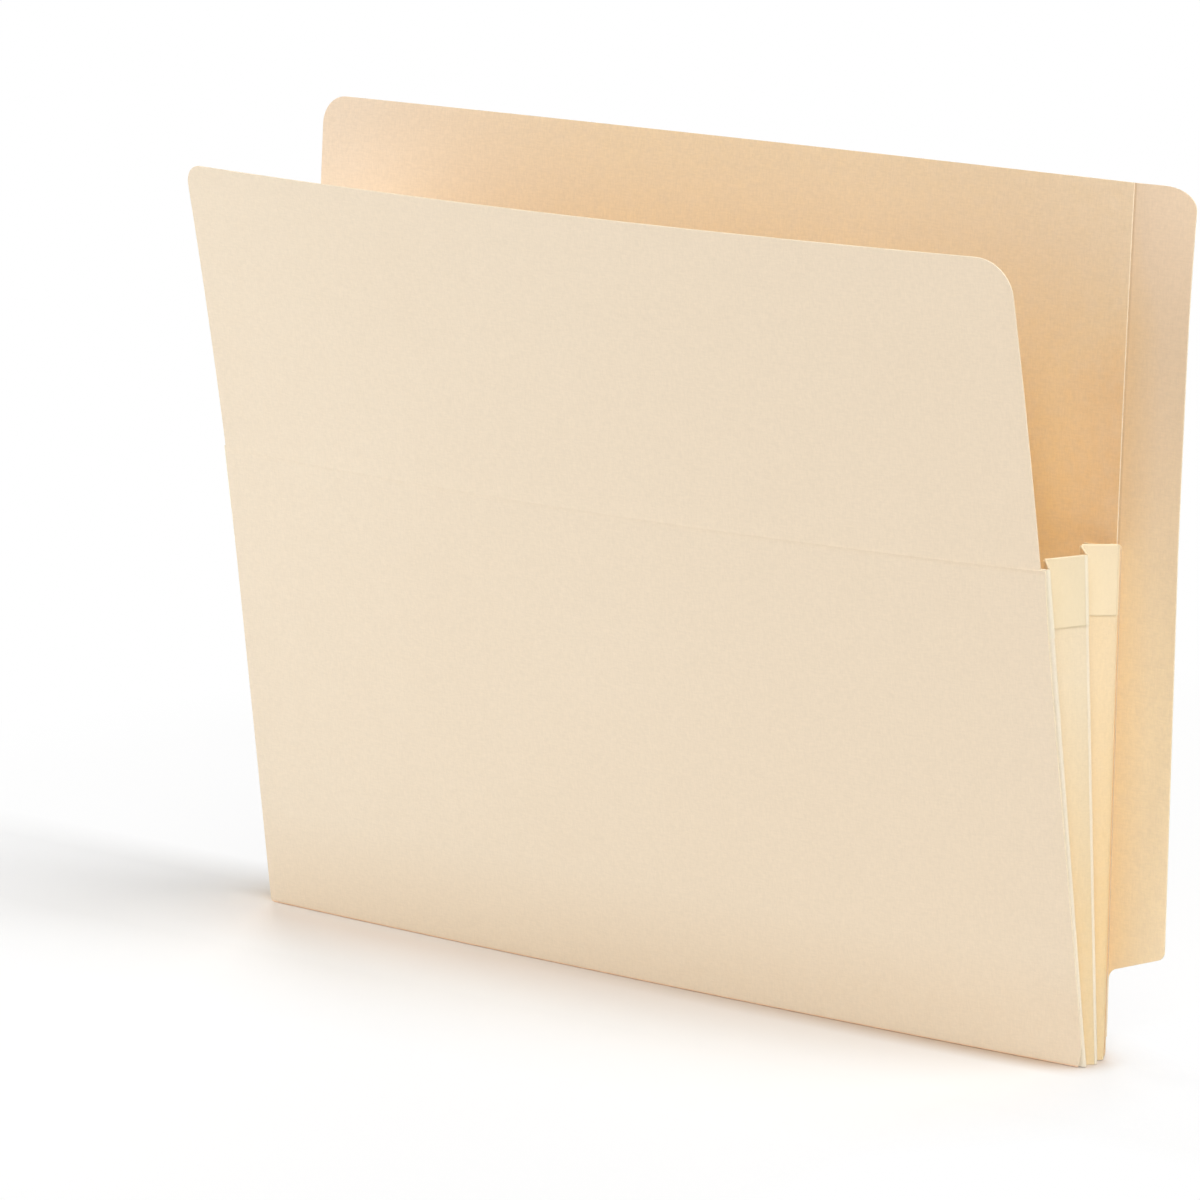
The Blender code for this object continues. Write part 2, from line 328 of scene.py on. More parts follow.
def back_surface(x, up):
    lower = min(up, SCORE_H)
    upper = max(up - SCORE_H, 0.0)
    height = BACK_H - SCORE_H
    share = upper / height
    upper -= BACK_FALL * share * (x / HALF_W + 1.0) / 2
    away = upper * math.sin(BACK_TOP_LEAN) + BACK_CURL * height * (share * share - share) / 2
    away += BACK_BOW * bow_share(x) * max(up, 0.0) / BACK_H
    point = wall_line(BACK_FOOT, BACK_UP, BACK_OUT, lower)
    return point + Vector((x, away, upper * math.cos(BACK_TOP_LEAN)))


def tab_surface(x, up):
    """The tab lies behind the back, and its free upper corner curls away."""
    outward = max(x - HALF_W, 0.0) / TAB_REACH
    upward = max(up - BACK_H + TAB_CURL_H, 0.0) / TAB_CURL_H
    curl = TAB_CURL * outward * upward * upward
    return back_surface(x, up) + BACK_OUT * (TAB_BEHIND + curl)


def base_surface(x, depth):
    return Vector((x, depth, AXIS_Z + BASE_LIFT))


# Modelling steps


def choose_none():
    bpy.ops.object.select_all(action="DESELECT")


def choose(piece):
    choose_none()
    piece.select_set(True)
    bpy.context.view_layer.objects.active = piece


def blank(name, left, right, low, high, depth=0.0):
    """A plain rectangle of stock, drawn flat."""
    choose_none()
    bpy.ops.mesh.primitive_plane_add(size=1.0)
    piece = bpy.context.object
    piece.name = name
    piece.data.name = name
    bpy.ops.object.mode_set(mode="EDIT")
    bpy.ops.mesh.select_all(action="SELECT")
    bpy.ops.transform.resize(value=(right - left, high - low, 1.0), center_override=(0.0, 0.0, 0.0))
    bpy.ops.transform.translate(value=((left + right) / 2, (low + high) / 2, depth))
    bpy.ops.object.mode_set(mode="OBJECT")
    return piece


def pick(piece, wanted, kind="VERT"):
    """Selects the points that a test wants, or the edges whose two ends it wants."""
    choose(piece)
    mesh = piece.data
    mesh.polygons.foreach_set("select", [False] * len(mesh.polygons))
    mesh.edges.foreach_set("select", [False] * len(mesh.edges))
    mesh.vertices.foreach_set("select", [bool(wanted(v.co)) for v in mesh.vertices])
    if kind == "EDGE":
        for edge in mesh.edges:
            edge.select = all(mesh.vertices[i].select for i in edge.vertices)
    bpy.ops.object.mode_set(mode="EDIT")
    bpy.ops.mesh.select_mode(type=kind)


def done():
    bpy.ops.object.mode_set(mode="OBJECT")


def round_corner(piece, x, y, radius):
    pick(piece, lambda co: abs(co.x - x) < NEAR and abs(co.y - y) < NEAR)
    bpy.ops.mesh.bevel(offset=radius, offset_type="OFFSET", segments=ARC_STEPS, affect="VERTICES")
    done()


def stretch(piece, share):
    """Stretches the flat drawing upwards."""
    pick(piece, lambda co: True)
    bpy.ops.transform.resize(value=(1.0, share, 1.0), center_override=(0.0, 0.0, 0.0))
    done()


def round_oval(piece, x, y, along, down):
    """Rounds a corner further along the sheet than down it."""
    share = along / down
    stretch(piece, share)
    round_corner(piece, x, y * share, along)
    stretch(piece, 1.0 / share)


def rule_lines(piece, across, upwards):
    """Cuts the sheet along upright and level lines, so that it can bend."""
    choose(piece)
    bpy.ops.object.mode_set(mode="EDIT")
    for x in across:
        bpy.ops.mesh.select_all(action="SELECT")
        bpy.ops.mesh.bisect(plane_co=(x, 0.0, 0.0), plane_no=(1.0, 0.0, 0.0))
    for y in upwards:
        bpy.ops.mesh.select_all(action="SELECT")
        bpy.ops.mesh.bisect(plane_co=(0.0, y, 0.0), plane_no=(0.0, 1.0, 0.0))
    done()


def spaced(low, high, count):
    return [low + (high - low) * (i + 1) / count for i in range(count - 1)]


def lay(piece, surface, out):
    """Lays a flat piece on a surface; its own depth goes along the outward normal."""
    for point in piece.data.vertices:
        x, y, depth = point.co
        point.co = surface(x, y) + out * depth
    piece.data.update()


def dress(piece, *materials):
    piece.data.materials.clear()
    for material in materials:
        piece.data.materials.append(material)


def apply_all(piece):
    choose(piece)
    for modifier in list(piece.modifiers):
        bpy.ops.object.modifier_apply(modifier=modifier.name)


def thicken(piece, thickness, cut_round=CUT_ROUND):
    """Gives a laid sheet its thickness, with finishes for its face, far face and cut edge."""
    stock = piece.modifiers.new("stock", "SOLIDIFY")
    stock.thickness = thickness
    stock.offset = 0.0
    stock.use_even_offset = True
    stock.material_offset = 1
    stock.material_offset_rim = 2
    soft = piece.modifiers.new("soft cut", "BEVEL")
    soft.width = cut_round
    soft.segments = CUT_ROUND_STEPS
    soft.limit_method = "ANGLE"
    soft.angle_limit = SOFT_EDGE_ANGLE
    apply_all(piece)
    pick(piece, lambda co: True)
    bpy.ops.mesh.select_all(action="SELECT")
    bpy.ops.mesh.normals_make_consistent(inside=False)
    done()
    bpy.ops.object.shade_smooth_by_angle(angle=SMOOTH_ANGLE)


def keep_outline(piece):
    """Removes the drawing lines inside a flat outline."""
    pick(piece, lambda co: True, "EDGE")
    bpy.ops.mesh.region_to_loop()
    bpy.ops.mesh.select_all(action="INVERT")
    bpy.ops.mesh.dissolve_edges(use_verts=False)
    done()


def stand_for(piece, body, slot, *nodes):
    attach(piece, body)
    if nodes:
        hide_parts(*nodes)


# Materials


def add_node(tree, kind, **settings):
    made = tree.nodes.new(kind)
    for key, value in settings.items():
        setattr(made, key, value)
    return made


def noise_of(tree, place, size, detail, scale=(1.0, 1.0, 1.0)):
    """Noise whose features are about size metres wide, and longer along an axis scaled below 1."""
    mapping = add_node(tree, "ShaderNodeMapping")
    mapping.inputs["Scale"].default_value = scale
    tree.links.new(place.outputs["Object"], mapping.inputs["Vector"])
    noise = add_node(tree, "ShaderNodeTexNoise")
    noise.inputs["Scale"].default_value = 1.0 / size
    noise.inputs["Detail"].default_value = detail
    tree.links.new(mapping.outputs["Vector"], noise.inputs["Vector"])
    return noise.outputs["Fac"]


def ranged(tree, value, low, high, start=0.3, end=0.7):
    """Goes from low to high as a value goes from start to end; a noise lies mostly from 0.3 to 0.7."""
    reach = add_node(tree, "ShaderNodeMapRange")
    reach.inputs["From Min"].default_value = start
    reach.inputs["From Max"].default_value = end
    reach.inputs["To Min"].default_value = low
    reach.inputs["To Max"].default_value = high
    tree.links.new(value, reach.inputs["Value"])
    return reach.outputs["Result"]


def mixed(tree, factor, first, second, blend="MIX"):
    """A mix of two colours, each of them plain or another node's output."""
    mix = add_node(tree, "ShaderNodeMix", data_type="RGBA", blend_type=blend)
    given = {MIX_FACTOR: factor, MIX_FIRST: first, MIX_SECOND: second}
    for index, value in given.items():
        socket = mix.inputs[index]
        if hasattr(value, "is_output"):
            tree.links.new(value, socket)
        elif isinstance(value, float):
            socket.default_value = value
        else:
            socket.default_value = (*value, 1.0)
    return mix.outputs[MIX_RESULT]


def combined(tree, first, second, operation="ADD", clamp=False):
    total = add_node(tree, "ShaderNodeMath", operation=operation, use_clamp=clamp)
    tree.links.new(first, total.inputs[0])
    tree.links.new(second, total.inputs[1])
    return total.outputs[0]


def coordinate(tree, place, axis):
    """A place along one of the object's axes, or along V, the run of the flat drawing."""
    split = add_node(tree, "ShaderNodeSeparateXYZ")
    tree.links.new(place.outputs["UV" if axis == "V" else "Object"], split.inputs[0])
    return split.outputs["Y" if axis == "V" else axis]


def depth_of_tone(tree, place, ramps):
    """How strongly a tone lies on the stock: the sum of its ramps."""
    total = None
    for axis, start, end, share in ramps:
        part = ranged(tree, coordinate(tree, place, axis), 0.0, share, start, end)
        total = part if total is None else combined(tree, total, part)
    return total


def manila(name, face, deep, fleck, grain=0.031, bump=0.18, roughness=0.78, painted_tones=()):
    """Manila stock: slow drift of tone, soft mottle, crossed fibre grain and faint flecks, with painted
    light and shade laid on by its painted tones.
    """
    material = bpy.data.materials.new(name)
    material.use_nodes = True
    tree = material.node_tree
    shader = tree.nodes["Principled BSDF"]
    shader.inputs["Specular IOR Level"].default_value = PAPER_GLOSS
    place = add_node(tree, "ShaderNodeTexCoord")
    drift = noise_of(tree, place, DRIFT_SIZE, detail=2.0)
    mottle = noise_of(tree, place, MOTTLE_SIZE, detail=4.0)
    upright = noise_of(tree, place, FIBRE_SIZE, detail=2.0, scale=(1.0, 1.0, FIBRE_ALONG))
    level = noise_of(tree, place, FIBRE_SIZE, detail=2.0, scale=(FIBRE_ALONG, FIBRE_THROUGH, 1.0))
    fibre = combined(tree, upright, level)
    specks = noise_of(tree, place, FLECK_SIZE, detail=1.0)
    colour = mixed(tree, ranged(tree, drift, 0.0, DRIFT_SHARE), face, deep)
    for tone, ramps in painted_tones:
        colour = mixed(tree, depth_of_tone(tree, place, ramps), colour, tone)
    colour = mixed(tree, ranged(tree, mottle, 0.0, MOTTLE_SHARE), colour, deep)
    streak = ranged(tree, fibre, 1.0 - grain, 1.0 + grain, *FIBRE_RUN)
    colour = mixed(tree, 1.0, colour, streak, "MULTIPLY")
    colour = mixed(tree, ranged(tree, specks, 0.0, FLECK_SHARE, *FLECK_RUN), colour, fleck)
    tree.links.new(colour, shader.inputs["Base Color"])
    feel = ranged(tree, mottle, roughness - MOTTLE_SMOOTHER, roughness + MOTTLE_ROUGHER)
    tree.links.new(feel, shader.inputs["Roughness"])
    relief = add_node(tree, "ShaderNodeBump")
    relief.inputs["Strength"].default_value = bump
    relief.inputs["Distance"].default_value = RELIEF_DEPTH
    tree.links.new(combined(tree, fibre, mottle), relief.inputs["Height"])
    tree.links.new(relief.outputs["Normal"], shader.inputs["Normal"])
    return material


# A finish has the colour of its face, a deeper one that it drifts to, and that of its flecks. A painted
# tone is painted light or shade, given as a colour and its ramps: an axis, where the ramp starts, where
# it ends, and the share that it adds there.
CUT_COLOURS = ((0.88, 0.765, 0.585), (0.86, 0.73, 0.54), (0.72, 0.55, 0.35))
CUT_FEEL = {"grain": 0.05, "bump": 0.3, "roughness": 0.85}
TAPE_COLOURS = ((0.806, 0.694, 0.494), (0.79, 0.675, 0.468), (0.74, 0.58, 0.36))
TAPE_FEEL = {"grain": 0.015, "bump": 0.1, "roughness": 0.7}

OUTER = manila(
    "manila_outer", (0.868, 0.748, 0.588), (0.85, 0.718, 0.552), (0.62, 0.42, 0.22),
    painted_tones=(
        # Painted shade: darker towards the right and towards the foot.
        ((0.825, 0.67, 0.492), (("X", -0.12, 0.14, 0.55), ("Z", 0.030, 0.0, 0.9))),
        # Painted warm contact shade along the bottom fold, where it meets the floor.
        ((0.95, 0.58, 0.34), (("Z", 0.0007, 0.0002, 0.9),)),
    ),
)
INNER = manila(
    "manila_inner", (0.876, 0.735, 0.575), (0.865, 0.71, 0.54), (0.66, 0.42, 0.20), grain=0.045,
    painted_tones=(
        # Painted shade: darker towards the right.
        ((0.70, 0.575, 0.47), (("X", 0.05, 0.14, 1.0),)),
        # Painted warm light thrown between the sheets: deeper orange lower down and away from the left.
        ((1.0, 0.745, 0.388), (("X", -0.130, -0.030, 0.43), ("Z", 0.215, 0.145, 0.57))),
        # Painted shade: darker at the right, up to about 190 mm high.
        ((0.86, 0.59, 0.32), (("X", 0.122, 0.145, 0.85), ("Z", 0.180, 0.205, -0.85))),
    ),
)
TAB = manila(
    "manila_tab_stock", (0.815, 0.639, 0.458), (0.80, 0.62, 0.435), (0.62, 0.40, 0.20), grain=0.04,
    painted_tones=(
        # Painted light: lighter and warmer lower down, where light comes up from the floor.
        ((0.955, 0.765, 0.495), (("Z", 0.215, 0.090, 1.0),)),
        # Painted warm shade along the tab's left edge, below its top part.
        ((0.885, 0.62, 0.313), (("X", 0.1565, 0.1470, 0.5), ("Z", 0.195, 0.225, -0.5))),
        # Painted shadow: a thin dark line beside the back's cut edge.
        ((0.62, 0.44, 0.27), (("X", 0.1459, 0.1455, 0.6),)),
    ),
)
CUT = manila("cut_edge", *CUT_COLOURS, **CUT_FEEL)
BACK_CUT = manila(
    "back_cut_edge", *CUT_COLOURS, **CUT_FEEL,
    # Painted shade: the back's cut edge darker below the score.
    painted_tones=(((0.56, 0.40, 0.25), (("Z", 0.140, 0.137, 0.55),)),),
)
STRIP = manila(
    "gusset_stock", (0.80, 0.685, 0.50), (0.785, 0.66, 0.465), (0.62, 0.42, 0.22),
    # Painted warm shade: deeper orange lower down and towards the back.
    painted_tones=(((0.80, 0.60, 0.315), (("Z", 0.105, 0.035, 0.64), ("Y", -0.001, 0.010, 0.33))),),
)
# Painted light: a brighter, warmer copy of the gusset stock for faces inside the pocket, standing in for
# light thrown between the sheets.
INSIDE_LIT = manila("gusset_inside_lit", (0.95, 0.76, 0.49), (0.93, 0.73, 0.45), (0.66, 0.42, 0.20))
# Painted highlight: a lighter copy of the gusset stock for the rounded folds at the front and in the
# middle.
FOLD = manila(
    "fold_highlight", (0.845, 0.75, 0.595), (0.825, 0.72, 0.555), (0.70, 0.52, 0.30),
    grain=0.03, bump=0.2, roughness=0.8,
)
TAPE = manila(
    "cream_tape", *TAPE_COLOURS, **TAPE_FEEL,
    painted_tones=(
        # Painted light: the inner half of the tape takes the brighter, warmer colour of the gusset's
        # inside.
        ((0.95, 0.76, 0.49), (("V", 0.505, 0.51, 1.0),)),
        # Painted shade: a thin dark line along both lower edges of the tape.
        ((0.56, 0.45, 0.28), (("V", 0.009, 0.006, 0.42), ("V", 0.991, 0.994, 0.42))),
    ),
)
BACK_TAPE = manila("back_tape", *TAPE_COLOURS, **TAPE_FEEL)
# Painted highlight: a lighter copy of the tape for the taped folds at the front and in the middle, and
# for their caps.
TAPE_FOLD = manila("tape_fold_highlight", (0.85, 0.765, 0.60), (0.83, 0.74, 0.57), (0.76, 0.60, 0.40), **TAPE_FEEL)


# Base


def make_base():
    inner = HALF_BASE - FOLD_START
    end = HALF_W - BASE_END
    piece = blank("base_sheet", -end, end, -inner, inner)
    lay(piece, base_surface, UPRIGHT)
    dress(piece, INNER, OUTER, CUT)
    thicken(piece, PANEL_T)
    stand_for(piece, "base", "manila_panel", "base_panel")


# Front panel and flap


def fold_levels():
    """Lines across the bottom fold, from the edge under the base up to the straight wall."""
    return spaced(SHEET_LOW, FOLD_START, FOLD_STEPS) + [FOLD_START]


def make_front():
    piece = blank("front_sheet", FRONT_LEFT, FRONT_RIGHT, SHEET_LOW, SCORE_H + SCORE_LAP)
    rule_lines(piece, [-FOOT_LAP_HALF, FOOT_LAP_HALF], [])
    pick(piece, lambda co: abs(co.y - SHEET_LOW) < NEAR and abs(co.x) < FOOT_LAP_HALF + NEAR, "EDGE")
    bpy.ops.mesh.extrude_region_move(TRANSFORM_OT_translate={"value": (0.0, -FOOT_LAP, 0.0)})
    done()
    keep_outline(piece)
    sides = ((-1.0, FRONT_LEFT, FRONT_LEFT_FOOT_R), (1.0, FRONT_RIGHT, FRONT_RIGHT_FOOT_R))
    for hand, edge, radius in sides:
        pick(piece, lambda co: abs(co.x - edge) < NEAR and abs(co.y - SHEET_LOW) < NEAR)
        bpy.ops.transform.translate(value=(hand * FOOT_FLARE, 0.0, 0.0))
        done()
        round_corner(piece, edge + hand * FOOT_FLARE, SHEET_LOW, radius)
    near_score = [SCORE_H - down * MM for down in FRONT_SCORE_LINES]
    near_foot = spaced(FOLD_START, FOOT_RISE, FOOT_ROWS)
    levels = [SHEET_LOW] + fold_levels() + near_foot
    levels += spaced(FOOT_RISE, SCORE_H - SCORE_CLEAR, UPWARDS) + near_score
    columns = spaced(-HALF_W, HALF_W, ACROSS)
    columns += spaced(FRONT_RIGHT - EDGE_ZONE, FRONT_RIGHT, EDGE_COLUMNS)
    rule_lines(piece, columns, levels)
    lay(piece, scored_front, FRONT_OUT)
    dress(piece, OUTER, INNER, CUT)
    thicken(piece, PANEL_T)
    stand_for(piece, "front", "manila_panel", "front_panel")
    flatten_front(piece)


def flatten_front(piece):
    """Gives the piece a mesh of its own."""
    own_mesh(piece)


def make_flap():
    piece = blank("front_flap_sheet", FRONT_LEFT, FRONT_RIGHT, -SCORE_LAP, FLAP_H)
    round_corner(piece, FRONT_LEFT, FLAP_H, FLAP_LEFT_R)
    round_corner(piece, FRONT_RIGHT, FLAP_H, FLAP_RIGHT_R)
    near_score = [up * MM for up in FLAP_SCORE_LINES]
    levels = near_score + spaced(SCORE_CLEAR, FLAP_H, UPWARDS)
    rule_lines(piece, spaced(-HALF_W, HALF_W, ACROSS), levels)
    lay(piece, flap_surface, FLAP_OUT)
    dress(piece, OUTER, INNER, CUT)
    thicken(piece, PANEL_T)
    stand_for(piece, "flap", "manila_panel", "front_flap")
    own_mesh(piece)


# Back panel and end tab


def back_levels(low):
    return spaced(low, SCORE_H, UPWARDS) + [SCORE_H] + spaced(SCORE_H, BACK_H, UPWARDS)


def make_back():
    right = HALF_W - BACK_RIGHT_INSET
    left = -HALF_W + BACK_LEFT_INSET
    piece = blank("back_sheet", -HALF_W, HALF_W, SHEET_LOW, SCORE_H)
    rule_lines(piece, [left, right], [])
    pick(piece, lambda co: abs(co.y - SCORE_H) < NEAR and left - NEAR < co.x < right + NEAR, "EDGE")
    bpy.ops.mesh.extrude_region_move(TRANSFORM_OT_translate={"value": (0.0, BACK_H - SCORE_H, 0.0)})
    done()
    keep_outline(piece)
    round_corner(piece, -HALF_W, SHEET_LOW, BASE_CORNER_R)
    round_corner(piece, HALF_W, SHEET_LOW, BASE_CORNER_R)
    round_corner(piece, left, BACK_H, BACK_LEFT_R)
    round_corner(piece, left, SCORE_H, SHOULDER_R)
    round_corner(piece, right, SCORE_H, SHOULDER_R)
    rule_lines(piece, spaced(-HALF_W, HALF_W, ACROSS), fold_levels() + back_levels(FOLD_START))
    lay(piece, back_surface, -BACK_OUT)
    dress(piece, INNER, OUTER, BACK_CUT)
    thicken(piece, PANEL_T)
    stand_for(piece, "back", "manila_panel", "back_panel")


def make_tab():
    inner = HALF_W - TAB_MARGIN
    outer = HALF_W + TAB_REACH
    piece = blank("end_tab_sheet", inner, HALF_W, TAB_FOOT, BACK_H)
    rule_lines(piece, [], [TAB_INNER_H])
    pick(piece, lambda co: abs(co.x - HALF_W) < NEAR and co.y > TAB_INNER_H - NEAR, "EDGE")
    bpy.ops.mesh.extrude_region_move(TRANSFORM_OT_translate={"value": (TAB_REACH, 0.0, 0.0)})
    done()
    pick(piece, lambda co: abs(co.x - outer) < NEAR and abs(co.y - TAB_INNER_H) < NEAR)
    bpy.ops.transform.translate(value=(0.0, TAB_RISE, 0.0))
    done()
    keep_outline(piece)
    round_corner(piece, HALF_W, TAB_INNER_H, TAB_FILLET_R)
    round_corner(piece, outer, TAB_INNER_H + TAB_RISE, TAB_LOW_R)
    round_oval(piece, outer, BACK_H, TAB_TOP_ALONG, TAB_TOP_DOWN)
    rule_lines(piece, spaced(inner, outer, TAB_COLUMNS), back_levels(TAB_FOOT))
    lay(piece, tab_surface, -BACK_OUT)
    dress(piece, TAB, OUTER, CUT)
    thicken(piece, PANEL_T)
    stand_for(piece, "back", "manila_tab", "end_tab")


# Side gussets


def leaf_reach(height):
    """Depth that one leaf fills at a height, clear of the valley fold."""
    space = HALF_BASE - LEAF_IN - MID_OUT + height * math.tan(LEAN)
    return space / 2 - VALLEY_GAP


LEAF_ANGLE = math.atan(leaf_reach(GUSSET_TOP) / FOLD_IN)


def leaf_width(height):
    return leaf_reach(height) / math.sin(LEAF_ANGLE) + VALLEY_FILL


def leaf_top(number, share):
    """Height of a leaf's top edge, from 0 at its ridge to 1 at its valley."""
    at_ridge, at_valley = TOP_DROPS[number]
    return GUSSET_TOP - at_ridge - (at_valley - at_ridge) * share


def leaf_frame(hand, number):
    """Fold point, direction across the leaf and direction up the fold of one leaf."""
    edge = Vector((hand * RIDGE_X, 0.0, 0.0))
    inwards = Vector((-hand * math.cos(LEAF_ANGLE), 0.0, 0.0))
    if number in WALL_OF_LEAF:
        up, out, foot = WALL_OF_LEAF[number]
        return edge + foot - out * LEAF_IN, inwards - out * math.sin(LEAF_ANGLE), up
    side = -1.0 if number == 2 else 1.0
    where = edge + Vector((hand * MID_PROUD, side * MID_OUT, AXIS_Z))
    return where, inwards + Vector((0.0, side * math.sin(LEAF_ANGLE), 0.0)), UPRIGHT


def leaf_sheet(hand, number):
    """A leaf's surface, by share from ridge to valley and by height, and the normal of its drawn face."""
    where, across, along = leaf_frame(hand, number)
    proud = 0.0 if number in WALL_OF_LEAF else MID_PROUD

    def sheet(share, up):
        inset = Vector((-hand * proud * share, 0.0, 0.0))
        return where + inset + across * (share * leaf_width(up)) + along * up

    return sheet, across.cross(along).normalized()


def faces_out(hand, number):
    """Whether the drawn face of a leaf lies outside the pocket."""
    return (number % 2 == 1) == (hand > 0.0)


def make_leaf(side_name, hand, number):
    sheet, normal = leaf_sheet(hand, number)

    def trimmed(share, up):
        rise = (up - GUSSET_LOW) / (GUSSET_TOP - GUSSET_LOW)
        return sheet(share, GUSSET_LOW + rise * (leaf_top(number, share) - GUSSET_LOW))

    leaf = blank(f"{side_name}_leaf_{number}_strip", 0.0, 1.0, GUSSET_LOW, GUSSET_TOP)
    rule_lines(leaf, spaced(0.0, 1.0, LEAF_COLUMNS), spaced(GUSSET_LOW, GUSSET_TOP, UPWARDS))
    lay(leaf, trimmed, normal)
    faces = (STRIP, INSIDE_LIT) if faces_out(hand, number) else (INSIDE_LIT, STRIP)
    dress(leaf, *faces, CUT)
    thicken(leaf, GUSSET_T)
    stand_for(leaf, f"{side_name}_fold_{number}", "manila_gusset", f"{side_name}_leaf_{number}")


def make_leaf_tape(side_name, hand, number):
    """The tape goes up the outer face of a leaf, over its top edge and down the inner face."""
    sheet, normal = leaf_sheet(hand, number)
    outward = normal if faces_out(hand, number) else -normal
    over = math.pi * TAPE_OFF

    def wrapped(share, run):
        top = leaf_top(number, share)
        if run <= TAPE_H:
            return sheet(share, top - TAPE_H + run) + outward * TAPE_OFF
        if run >= TAPE_H + over:
            return sheet(share, top + TAPE_H + over - run) - outward * TAPE_OFF
        turn = (run - TAPE_H) / TAPE_OFF
        return sheet(share, top + TAPE_OFF * math.sin(turn)) + outward * (TAPE_OFF * math.cos(turn))

    tape = blank(f"{side_name}_tape_{number}_band", 0.0, 1.0, 0.0, 2 * TAPE_H + over)
    turns = [TAPE_H + over * i / FOLD_STEPS for i in range(FOLD_STEPS + 1)]
    rule_lines(tape, spaced(0.0, 1.0, LEAF_COLUMNS), turns)
    lay(tape, wrapped, normal)
    dress(tape, TAPE, TAPE, TAPE)
    thicken(tape, TAPE_T, TAPE_ROUND)
    stand_for(tape, f"{side_name}_fold_{number}", "gusset_tape", f"{side_name}_tape_{number}")


def make_valley_fold(side_name, hand, number):
    """The inward fold between two leaves, which turns with the middle one of them."""
    where, across, along = leaf_frame(hand, number)
    side = math.copysign(1.0, across.y)
    beside = Vector((-across.x, across.y, 0.0))
    past_tip = VALLEY_GAP / math.sin(LEAF_ANGLE) - VALLEY_FILL
    half = math.pi / 2 - LEAF_ANGLE
    arc = 2 * half * VALLEY_R

    def rounded(run, up):
        """Along the middle leaf's inner face, round the fold and along the outer leaf's."""
        turn = half - min(max((run - VALLEY_START) / VALLEY_R, 0.0), 2 * half)
        away = Vector((-hand * math.cos(turn), -side * math.sin(turn), 0.0))
        reach = leaf_width(up) + past_tip - max(VALLEY_START - run, 0.0)
        lap = max(run - VALLEY_START - arc, 0.0)
        tip = where - Vector((hand * MID_PROUD, 0.0, 0.0)) + across * reach + along * up
        return tip + away * VALLEY_R + beside * lap

    length = VALLEY_START + arc + VALLEY_LAP
    fold = blank(f"{side_name}_valley_fold_{number}", 0.0, length, GUSSET_LOW, leaf_top(number, 1.0))
    bends = [VALLEY_START + arc * i / FOLD_STEPS for i in range(FOLD_STEPS + 1)]
    rule_lines(fold, bends, [])
    lay(fold, rounded, UPRIGHT)
    dress(fold, INSIDE_LIT, INSIDE_LIT, INSIDE_LIT)
    thicken(fold, GUSSET_T)
    stand_for(fold, f"{side_name}_fold_{number}", "manila_gusset")


def make_fold_cap(name, wall, where, radius):
    """The tape closes over the top of a fold, and dips a little into it."""
    choose_none()
    bpy.ops.mesh.primitive_cylinder_add(vertices=CAP_STEPS, radius=radius, depth=CAP_T, location=where)
    cap = bpy.context.object
    cap.name = name
    cap.data.name = name
    bpy.ops.object.transform_apply(location=True, rotation=False, scale=False)
    top = where.z + CAP_T / 2
    pick(cap, lambda co: co.z > top - NEAR)
    bpy.ops.mesh.inset(thickness=radius * CAP_RIM, depth=-CAP_DIP)
    bpy.ops.mesh.inset(thickness=radius * CAP_RIM, depth=-CAP_DIP / 2)
    done()
    bpy.ops.object.shade_smooth_by_angle(angle=SMOOTH_ANGLE)
    dress(cap, TAPE_FOLD)
    stand_for(cap, wall, "gusset_tape")


def make_lap(side_name, hand, wall, surface, out):
    """The glued lap of the gusset inside a wall."""
    left, right = sorted((hand * (HALF_W - FLANGE_W), hand * (HALF_W - LAP_EDGE)))
    depth = -(PANEL_T / 2 + GUSSET_T / 2 + TAPE_LIFT)
    lap = blank(f"{side_name}_{wall}_lap", left, right, LAP_LOW, LAP_TOP, depth)
    rule_lines(lap, spaced(left, right, LAP_COLUMNS), spaced(LAP_LOW, LAP_TOP, UPWARDS))
    lay(lap, surface, out)
    dress(lap, STRIP, STRIP, CUT)
    thicken(lap, GUSSET_T)
    stand_for(lap, wall, "manila_gusset", f"{side_name}_{wall}_flange")
    if wall == "front":
        flatten_front(lap)


def make_edge_fold(name, hand, wall, surface, out, low, high, stock, finish):
    """A length of the rounded fold from a wall's lap to its outer leaf."""
    depth = PANEL_T / 2 + stock / 2 + TAPE_LIFT
    radius = (LEAF_IN - depth) / (1.0 + math.cos(LEAF_ANGLE))
    start = hand * (RIDGE_X - radius * math.sin(LEAF_ANGLE))
    left, right = sorted((hand * (HALF_W - LAP_EDGE), start))
    fold = blank(name, left, right, low, high, -depth)
    pick(fold, lambda co: abs(co.x - start) < NEAR, "EDGE")
    bpy.ops.mesh.spin(
        steps=FOLD_STEPS,
        angle=-hand * (math.pi - LEAF_ANGLE),
        center=(start, 0.0, -depth - radius),
        axis=(0.0, 1.0, 0.0),
    )
    done()
    rule_lines(fold, [], spaced(low, high, UPWARDS))
    lay(fold, surface, out)
    dress(fold, finish, finish, finish)
    thicken(fold, stock)
    stand_for(fold, wall, "manila_gusset")
    if stock == TAPED_T:
        middle = surface(start, high - CAP_DROP - CAP_T / 2) - out * (depth + radius)
        make_fold_cap(name + "_cap", wall, middle, radius)


def middle_surface(x, up):
    return Vector((x, 0.0, AXIS_Z + up))


